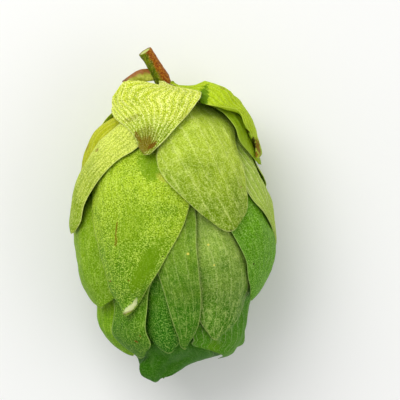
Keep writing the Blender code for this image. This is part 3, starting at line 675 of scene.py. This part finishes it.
class Finish:
    """A material with one Principled shader, and the nodes that vary it."""

    def __init__(self, name):
        self.material = bpy.data.materials.new(name)
        self.material.use_nodes = True
        self.tree = self.material.node_tree
        self.shader = self.tree.nodes["Principled BSDF"]

    def node(self, kind, settings, inputs, output=0):
        return Socket(self, add_node(self.tree, kind, settings, inputs)[output])

    def set(self, **inputs):
        for name, value in inputs.items():
            put(self.tree, self.shader.inputs[name.replace("_", " ")], value)

    def mix(self, share, first, second):
        settings = {"data_type": "RGBA", "clamp_factor": True}
        return self.node("ShaderNodeMix", settings, {0: share, 6: first, 7: second}, 2)

    def layered(self, ground, *layers):
        """The ground with each (share, tone) laid over it in turn."""
        for share, tone in layers:
            ground = self.mix(share, ground, tone)
        return ground

    def between(self, value, low, high):
        inputs = {"Value": value, "From Min": low, "From Max": high}
        return self.node("ShaderNodeMapRange", {"interpolation_type": "SMOOTHSTEP"}, inputs)

    def attribute(self, name):
        return self.node("ShaderNodeAttribute", {"attribute_name": name}, {}, 2)

    def scaled(self, vector, factors):
        return self.node("ShaderNodeVectorMath", {"operation": "MULTIPLY"}, {0: vector, 1: factors})

    def noise(self, where, scale, detail=2.0, roughness=0.5):
        inputs = {"Vector": where, "Scale": scale, "Detail": detail, "Roughness": roughness}
        return self.node("ShaderNodeTexNoise", {}, inputs)

    def millimetres(self, shift=(0, 0, 0)):
        """Places on the object, in millimetres, moved by a shift."""
        place = self.scaled(self.node("ShaderNodeTexCoord", {}, {}, 3), (1 / MM, 1 / MM, 1 / MM))
        return self.node("ShaderNodeVectorMath", {"operation": "ADD"}, {0: place, 1: tuple(shift)})

    def bump(self, height, distance, strength=1.0):
        inputs = {"Height": height, "Distance": distance * MM, "Strength": strength}
        return self.node("ShaderNodeBump", {}, inputs)


def screen(red, green, blue):
    """A colour as it is seen on a screen, from 0 to 255, as the light that it stands for."""
    return tuple((part / 255) ** 2.2 for part in (red, green, blue))


def toned(colour, factor, towards=(0, 0, 0), share=0.0):
    return tuple((a * (1 - share) + b * share) * factor for a, b in zip(colour, towards))


PALE = screen(248, 250, 184)
# The shade tone and the tone of the hollow are painted shade; where the shade tone is lighter than
# its bract it is a painted highlight.
MARK_TONES = dict(
    brown=screen(118, 74, 12), dark=screen(52, 40, 6), yellow=screen(226, 214, 92),
    underside=screen(214, 224, 160), olive=screen(112, 112, 6), shade=screen(104, 144, 4),
    hollow_shade=screen(84, 124, 2),
)


def bract_finish(name, outline, marks, shift):
    """A papery bract: its greens, paler veins and edge, glandular speckles and its marks, with
    painted shade in its grooves, towards its lower end and under the bracts over it, and painted
    highlights on its rib tops and speckles.
    """
    finish = Finish(name)
    where = finish.millimetres(-shift)
    blade = finish.node("ShaderNodeUVMap", {"uv_map": "blade"}, {})
    ribs = finish.node("ShaderNodeSeparateXYZ", {}, {0: blade})
    down = finish.attribute("down")
    speckle = outline["speckle"]
    upper, lower = (screen(*colour) for colour in outline["colours"])
    # The lighter tone is whitened partly for the pale speckle and partly as a painted sheen of wet
    # patches.
    light, deep = toned(upper, 1.25, PALE, outline["whiteness_and_sheen"]), toned(lower, 0.45)
    pale = toned(upper, 1.15, PALE, outline["whiteness_and_sheen"] + 0.1)
    ribbed = min(1.0, 2.2 * outline["pleats"])

    clouds = finish.noise(where, 0.4, 3.0)
    mottle = finish.noise(where, 1.5, 4.0, 0.65)
    grain = finish.noise(where, 6.2, 2.0, 0.6)
    fibres = finish.noise(finish.scaled(blade, (4.5, 0.5, 0.0)), 1.0, 3.0, 0.6)
    wavering = ribs + mottle * 0.5 + 100.25
    ridge = finish.node("ShaderNodeMath", {"operation": "PINGPONG"}, {0: wavering, 1: 0.5}) * 2.0
    fading = 1 - finish.between(down, 0.45, 0.8)
    # A painted highlight on the tops of the ribs, broken by the grain.
    crest_highlight = finish.between(ridge, 0.5, 1.0) * finish.between(grain, 0.35, 0.6)
    vein = finish.between(ridge, 0.88, 0.98) * finish.between(mottle, 0.3, 0.5)
    ground = finish.layered(
        # Upper to lower: partly the bract's own greens, partly painted shade towards its lower end.
        upper, (finish.between(down + clouds * 0.4 - 0.2, 0.2, 0.95), lower),
        (finish.between(clouds, 0.5, 0.75) * 0.3, toned(lower, 0.8)),
        (finish.between(mottle, 0.5, 0.8) * 0.35, light),
        # Painted shade in the grooves between the ribs.
        ((1 - finish.between(ridge, 0.0, 0.45)) * ribbed, toned(lower, 0.85)),
        # The painted highlight along the rib tops.
        (crest_highlight * fading * ribbed * 0.7, light),
        (vein * outline["veins"], pale))
    if outline["felt"]:
        inputs = {"Vector": where, "Scale": 1.7, "Randomness": 1.0}
        cells = finish.node("ShaderNodeTexVoronoi", {"feature": "DISTANCE_TO_EDGE"}, inputs)
        hairline = (1 - finish.between(cells, 0.02, 0.12)) * finish.between(mottle, 0.35, 0.6)
        ground = finish.mix(hairline * (0.4 * outline["felt"]), ground, light)
    margin = 1 - finish.between(finish.attribute("margin"), 0.04, 0.2)
    ground = finish.layered(
        # Pale speckle: partly the glands' own colour, partly painted glints.
        ground, (finish.between(grain, 0.52, 0.64) * (0.15 + 0.5 * speckle), light),
        ((1 - finish.between(grain, 0.38, 0.5)) * (0.2 + 0.45 * speckle), deep),
        (finish.between(fibres, 0.52, 0.72) * 0.3, light),
        ((1 - finish.between(fibres, 0.3, 0.48)) * 0.22, deep),
        (margin * 0.4, pale),
        # Painted shade where the sheet lies under the bracts over it.
        (finish.attribute("shade_under_cover") * 0.3, toned(lower, 0.6)),
        *(marked(finish, where, grain, mottle, mark) for mark in marks))

    height = mottle * 0.5 + fibres * 0.5 + grain * (0.2 + 0.5 * speckle)
    height = height + vein * outline["veins"] * 0.5
    finish.set(Base_Color=ground, Roughness=finish.between(grain, 0.2, 0.8) * 0.2 + 0.45)
    finish.set(Normal=finish.bump(height, 0.09, 0.8), Specular_IOR_Level=0.06)
    finish.set(Subsurface_Weight=0.15, Subsurface_Radius=(0.8, 1.0, 0.2), Subsurface_Scale=0.5 * MM)
    return finish.material


def marked(finish, where, grain, mottle, mark):
    """The share and the tone of one mark: an oval with a ragged edge, turned in the picture."""
    across, station, turn, half_length, half_width, tone, strength = mark
    turn = math.radians(turn)
    centre = (across, -station)
    spread = 0
    for (x, y), half in (((math.cos(turn), math.sin(turn)), half_length),
                         ((-math.sin(turn), math.cos(turn)), half_width)):
        axis = (x / half, y / half, 0.0)
        offset = axis[0] * centre[0] + axis[1] * centre[1]
        settings = {"operation": "DOT_PRODUCT"}
        along = finish.node("ShaderNodeVectorMath", settings, {0: where, 1: axis}, 1)
        spread = spread + (along - offset) ** 2.0
    ragged = spread + grain * 1.6 + mottle * 2.0 - 1.8
    return (1 - finish.between(ragged, 0.4, 1.1)) * strength, MARK_TONES[tone]


def stalk_finish():
    """A young stalk: red-brown on its right, green on its left, with long fibres and warts."""
    finish = Finish("stalk")
    where = finish.millimetres()
    fibres = finish.noise(finish.scaled(where, (2.2, 0.6, 2.2)), 1.2, 3.0, 0.6)
    warts = finish.noise(where, 4.5, 2.0)
    side = finish.attribute("sunny") + fibres * 0.5 - 0.25
    cut = finish.attribute("cut")
    red = finish.mix(finish.between(warts, 0.35, 0.7), screen(128, 62, 4), screen(176, 112, 24))
    green = finish.mix(finish.between(fibres, 0.35, 0.65), screen(72, 88, 2), screen(116, 130, 6))
    skin = finish.layered(
        green, (finish.between(side, 0.35, 0.65), red),
        (finish.between(warts, 0.6, 0.75) * 0.5, screen(214, 178, 100)),
        (finish.between(cut, 0.04, 0.1), screen(120, 110, 40)),
        (finish.between(cut + fibres * 0.1, 0.22, 0.4), screen(190, 200, 110)))
    finish.set(Base_Color=skin, Roughness=0.5 + warts * 0.25, Specular_IOR_Level=0.15)
    finish.set(Normal=finish.bump(fibres * 0.7 + warts * 0.5, 0.12, 0.8))
    finish.set(Subsurface_Weight=0.08, Subsurface_Radius=(1.0, 0.6, 0.3), Subsurface_Scale=0.5 * MM)
    return finish.material


def hair_finish():
    finish = Finish("hair")
    where = finish.millimetres()
    shade = finish.noise(where, 2.0, 1.0)
    colour = finish.mix(shade, screen(236, 214, 168), screen(206, 160, 104))
    finish.set(Base_Color=colour, Roughness=0.6)
    return finish.material


def stipule_finish():
    """A withered leaflet: yellow-green, red-brown along its upper edge and brown at its tip."""
    finish = Finish("stipule")
    where = finish.millimetres()
    grain = finish.noise(where, 3.5, 3.0, 0.6)
    rim = finish.attribute("rim") + grain * 0.5 - 0.25
    wilted = finish.attribute("down") + grain * 0.3 - 0.15
    ground = finish.layered(
        screen(150, 158, 20), (finish.between(grain, 0.3, 0.7), screen(196, 198, 70)),
        (finish.between(rim, 0.45, 0.8), screen(150, 92, 30)),
        (finish.between(wilted, 0.72, 0.95), screen(112, 66, 18)))
    finish.set(Base_Color=ground, Roughness=0.55, Normal=finish.bump(grain, 0.1, 0.7))
    return finish.material


def floor_finish():
    finish = Finish("floor")
    shade = finish.noise(finish.millimetres(), 0.02, 2.0)
    finish.set(Base_Color=finish.mix(shade, (0.86, 0.86, 0.85), (0.90, 0.90, 0.89)), Roughness=0.8)
    return finish.material


# ---------------------------------------------------------------- pieces

def new_object(name, data):
    made = bpy.data.objects.new(name, data)
    bpy.context.scene.collection.objects.link(made)
    return made


def strig_end():
    """The middle of the strig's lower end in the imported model, in millimetres."""
    corners = np.array([vertex.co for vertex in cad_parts["stalk"].data.vertices]) / MM
    corners = np.unique(np.round(corners, 3), axis=0)
    ring = corners[corners[:, 1] < corners[:, 1].min() + 0.1]
    return ring.mean(axis=0)


def new_mesh(name, points, faces, fields, material):
    """A smooth mesh, with a value for each of its points under each field's name."""
    mesh = bpy.data.meshes.new(name)
    mesh.from_pydata((points.reshape(-1, 3) * MM).tolist(), [], faces)
    mesh.shade_smooth()
    mesh.materials.append(material)
    for field, values in fields.items():
        made = mesh.attributes.new(field, "FLOAT", "POINT")
        made.data.foreach_set("value", np.ascontiguousarray(values, dtype=np.float32).reshape(-1))
    return mesh


def sheet_mesh(name, points, fields, blade, material):
    """A mesh of quads through a grid of points, with its map of the blade."""
    rows, columns = points.shape[:2]
    corner = (np.arange(rows - 1)[:, None] * columns + np.arange(columns - 1)[None, :]).reshape(-1)
    faces = np.stack((corner, corner + columns, corner + columns + 1, corner + 1), axis=-1)
    mesh = new_mesh(name, points, faces.tolist(), fields, material)
    layer = mesh.uv_layers.new(name="blade")
    corners = np.empty(len(mesh.loops), dtype=np.int32)
    mesh.loops.foreach_get("vertex_index", corners)
    layer.data.foreach_set("uv", blade.reshape(-1, 2)[corners].astype(np.float32).reshape(-1))
    return mesh


def row_lengths(points):
    """How far each point of a grid is along its row."""
    steps = np.linalg.norm(np.diff(points, axis=1), axis=2)
    return np.cumsum(np.pad(steps, ((0, 0), (1, 0))), axis=1)


def edge_distance(points):
    """How far each point of a sheet is from its nearest side or its tip, in millimetres."""
    from_left = row_lengths(points)
    from_top = row_lengths(points.swapaxes(0, 1)).T
    from_right, from_tip = from_left[:, -1:] - from_left, from_top[-1:] - from_top
    return np.minimum(np.minimum(from_left, from_right), from_tip)


def thin_sheet(name, mesh, margin):
    """An object whose sheet is thickest inside and thins towards its edges."""
    made = new_object(name, mesh)
    group = made.vertex_groups.new(name="inside")
    share = ease(0.0, MARGIN, margin).reshape(-1)
    for level in range(1, MARGIN_LEVELS + 1):
        members = np.nonzero(np.rint(share * MARGIN_LEVELS) == level)[0]
        group.add(members.tolist(), level / MARGIN_LEVELS, "REPLACE")
    shell = made.modifiers.new("thickness", "SOLIDIFY")
    shell.thickness = THICKNESS * MM
    shell.offset = 0
    shell.vertex_group = "inside"
    shell.thickness_vertex_group = MARGIN_THICKNESS
    return made


def add_bracts(shift):
    outlines = bract_outlines()
    finishes = {}
    for name, sheet in laid_sheets(outlines).items():
        outline = outlines[name]
        points = sheet["points"] + shift
        margin = edge_distance(points)
        fields = dict(down=sheet["down"], margin=margin, shade_under_cover=sheet["shade_under_cover"])
        blade = np.stack((sheet["ribs"], sheet["station"]), axis=-1)
        key = name.rsplit("_", 1)[0] if name.startswith("back_") else name
        if key not in finishes:
            finishes[key] = bract_finish(key, outline, MARKS.get(name, ()), shift)
        mesh = sheet_mesh(f"fine_{name}", points, fields, blade, finishes[key])
        piece = thin_sheet(f"fine_{name}", mesh, margin)
        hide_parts(f"bract_{name}")
        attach(piece, "root")


def stalk_grid(shift):
    """Rings of points round the stalk's route, lightly grooved and warty."""
    stations, across, heights, radii = (np.array(row) for row in zip(*STALK_ROUTE))
    at = np.linspace(stations[0], stations[-1], STALK_RINGS)
    centre = np.stack((smooth(stations, across, at), -at, smooth(stations, heights, at)), axis=-1)
    radius = smooth(stations, radii, at)
    along = np.gradient(centre, axis=0)
    along /= np.linalg.norm(along, axis=1)[:, None]
    sideways = np.cross(along, (0, 0, 1))
    sideways /= np.linalg.norm(sideways, axis=1)[:, None]
    up = np.cross(sideways, along)
    turn = np.linspace(0, 2 * math.pi, STALK_SIDES, endpoint=False)
    grooves = GROOVE_DEPTH * np.abs(np.cos(STALK_GROOVES / 2 * turn))[None, :]
    wart_height, wart_size = WARTS
    warts = wart_height * unevenness(turn[None, :] * 1.2, at[:, None], wart_size, 5)
    depth = radius[:, None] - grooves - warts
    ring = (np.cos(turn)[None, :, None] * sideways[:, None, :]
            + np.sin(turn)[None, :, None] * up[:, None, :])
    points = centre[:, None, :] + ring * depth[:, :, None] + shift
    shares = np.linspace(0.04, 0.96, CUT_RINGS)[:, None, None]
    middle = points[0].mean(axis=0)
    end = middle + (points[0] - middle) * shares + along[0] * CUT_HOLLOW * (1 - shares ** 2)
    inwards = np.concatenate((1 - shares[:, 0, 0], np.zeros(len(at))))
    bare = np.concatenate((np.zeros(CUT_RINGS), at < HAIR_REACH))
    fields = dict(
        sunny=np.tile(0.5 - 0.5 * np.cos(turn), (len(bare), 1)),
        cut=np.tile(inwards[:, None], (1, STALK_SIDES)),
        bare=np.tile(bare[:, None], (1, STALK_SIDES)))
    return np.concatenate((end, points)), fields


def add_stalk(shift, skin, hair):
    points, fields = stalk_grid(shift)
    rings, sides = points.shape[:2]
    corner = np.arange(rings - 1)[:, None] * sides
    this, following = np.arange(sides)[None, :], (np.arange(sides)[None, :] + 1) % sides
    upper, lower = corner, corner + sides
    quads = (upper + this, upper + following, lower + following, lower + this)
    quads = np.stack(quads, axis=-1).reshape(-1, 4).tolist()
    ends = [list(range(sides))[::-1], [(rings - 1) * sides + side for side in range(sides)]]
    mesh = new_mesh("fine_stalk", points, quads + ends, fields, skin)
    piece = new_object("fine_stalk", mesh)
    hairs = haired(mesh, hair)
    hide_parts("stalk")
    for made in (piece, hairs):
        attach(made, "root")


class Tree:
    """A Geometry Nodes tree with named inputs."""

    def __init__(self, name, inputs):
        self.tree = bpy.data.node_groups.new(name, "GeometryNodeTree")
        sockets = self.tree.interface
        sockets.new_socket("Geometry", in_out="INPUT", socket_type="NodeSocketGeometry")
        sockets.new_socket("Geometry", in_out="OUTPUT", socket_type="NodeSocketGeometry")
        self.values = {}
        for label, value in inputs.items():
            kind = "NodeSocketInt" if isinstance(value, int) else "NodeSocketFloat"
            made = sockets.new_socket(label, in_out="INPUT", socket_type=kind)
            self.values[made.identifier] = value
        self.given = self.tree.nodes.new("NodeGroupInput").outputs

    def node(self, kind, settings, inputs):
        return add_node(self.tree, kind, settings, inputs)

    def grown_on(self, mesh, name):
        """The plain mesh object that the tree makes from a mesh."""
        base = new_object("base", mesh)
        modifier = base.modifiers.new("tree", "NODES")
        modifier.node_group = self.tree
        for identifier, value in self.values.items():
            modifier[identifier] = value
        depsgraph = bpy.context.evaluated_depsgraph_get()
        grown = bpy.data.meshes.new_from_object(base.evaluated_get(depsgraph))
        grown.name = name
        bpy.data.objects.remove(base, do_unlink=True)
        return new_object(name, grown)


def haired(mesh, finish):
    """Short stiff hairs, scattered over the bare part of the stalk."""
    tree = Tree("hairs", {"Density": HAIR_DENSITY / MM ** 2, "Length": HAIR_LENGTH * MM,
                          "Radius": HAIR_RADIUS * MM, "Lean": HAIR_LEAN, "Seed": SEED})
    given = tree.given
    bare = tree.node("GeometryNodeInputNamedAttribute", {"data_type": "FLOAT"}, {"Name": "bare"})
    places = tree.node(
        "GeometryNodeDistributePointsOnFaces", {},
        {"Mesh": given["Geometry"], "Selection": bare["Attribute"], "Density": given["Density"],
         "Seed": given["Seed"]})
    cone = tree.node("GeometryNodeMeshCone", {}, {
        "Vertices": 4, "Radius Bottom": given["Radius"], "Radius Top": 0.0,
        "Depth": given["Length"]})
    least = tree.node("ShaderNodeMath", {"operation": "MULTIPLY"}, {0: given["Lean"], 1: -1.0})
    lean = tree.node("FunctionNodeRandomValue", {"data_type": "FLOAT_VECTOR"}, {
        "Min": least[0], "Max": given["Lean"], "Seed": given["Seed"]})
    turn = tree.node("FunctionNodeEulerToRotation", {}, {0: lean[0]})
    turned = tree.node("FunctionNodeRotateRotation", {"rotation_space": "LOCAL"}, {
        0: places["Rotation"], 1: turn[0]})
    size = tree.node("FunctionNodeRandomValue", {"data_type": "FLOAT"}, {2: 0.4, 3: 1.0})
    hairs = tree.node("GeometryNodeInstanceOnPoints", {}, {
        "Points": places["Points"], "Instance": cone["Mesh"], "Rotation": turned[0],
        "Scale": size[1]})
    plain = tree.node("GeometryNodeRealizeInstances", {}, {0: hairs[0]})
    done = tree.node("GeometryNodeSetMaterial", {}, {"Geometry": plain[0], "Material": finish})
    tree.node("NodeGroupOutput", {}, {0: done[0]})
    return tree.grown_on(mesh, "stalk_hairs")


def add_stipule(shift, finish):
    """The withered stipule: a small crinkled sheet, folded along its length."""
    route = np.array([(x, -s, z) for x, s, z in STIPULE_ROUTE])
    knots = np.linspace(0, 1, len(route))
    down = np.linspace(0, 1, 60)
    across = np.linspace(-1, 1, 25)
    centre = np.stack([smooth(knots, route[:, axis], down) for axis in range(3)], axis=-1)
    along = np.gradient(centre, axis=0)
    sideways = np.stack((-along[:, 1], along[:, 0], np.zeros(len(down))), axis=-1)
    sideways /= np.linalg.norm(sideways, axis=1)[:, None]
    width = smooth(knots, STIPULE_HALF_WIDTHS, down)[:, None]
    points = centre[:, None, :] + sideways[:, None, :] * (width * across[None, :])[:, :, None]
    height, size = CRINKLES
    crinkle = height * unevenness(points[..., 0], points[..., 1], size, 21)
    crinkle = crinkle - STIPULE_FOLD * across[None, :] ** 2
    points[..., 2] += crinkle
    fields = dict(down=down[:, None] + 0 * crinkle, rim=0.5 - 0.5 * across[None, :] + 0 * crinkle)
    blade = np.stack((across[None, :] + 0 * crinkle, down[:, None] + 0 * crinkle), axis=-1)
    margin = edge_distance(points)
    mesh = sheet_mesh("fine_stipule", points + shift, fields, blade, finish)
    piece = thin_sheet("fine_stipule", mesh, margin)
    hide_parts("stipule")
    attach(piece, "root")


# ---------------------------------------------------------------- floor, light and camera

def add_floor():
    bpy.ops.mesh.primitive_plane_add(size=2.4)
    floor = bpy.context.object
    floor.name = "floor"
    floor.data.materials.append(floor_finish())


def add_light(name, place, size, energy, target):
    lamp = bpy.data.lights.new(name, "AREA")
    lamp.size = size * MM
    lamp.energy = energy
    made = new_object(name, lamp)
    made.location = [part * MM for part in place]
    aim = np.array(target) - np.array(place)
    made.rotation_euler = Vector(aim).to_track_quat("-Z", "Y").to_euler()


def add_world():
    world = bpy.data.worlds.new("studio")
    world.use_nodes = True
    world.node_tree.nodes["Background"].inputs["Color"].default_value = (1, 1, 1, 1)
    world.node_tree.nodes["Background"].inputs["Strength"].default_value = 0.62
    bpy.context.scene.world = world


def add_camera(shift):
    camera = bpy.data.cameras.new("camera")
    camera.sensor_width = SENSOR
    camera.lens = SENSOR * CAMERA_DISTANCE / PICTURE_WIDTH
    camera.clip_start = 0.01
    camera.clip_end = 10
    made = new_object("camera", camera)
    across, station = PICTURE_MIDDLE
    middle = np.array((across, -station, 0.0)) + shift
    made.location = (middle[0] * MM, middle[1] * MM, (middle[2] + CAMERA_DISTANCE) * MM)
    bpy.context.scene.camera = made


def main():
    last_station, last_across, last_height, _ = STALK_ROUTE[-1]
    shift = strig_end() - np.array((last_across, -last_station, last_height))
    add_bracts(shift)
    add_stalk(shift, stalk_finish(), hair_finish())
    add_stipule(shift, stipule_finish())
    add_floor()
    add_world()
    add_light("key", (-130, 180, 300), 260, 0.8, (0, 0, 8))
    add_light("fill", (220, -60, 260), 220, 0.15, (0, 0, 8))
    add_camera(shift)
    bpy.context.scene.view_settings.view_transform = "Standard"


main()
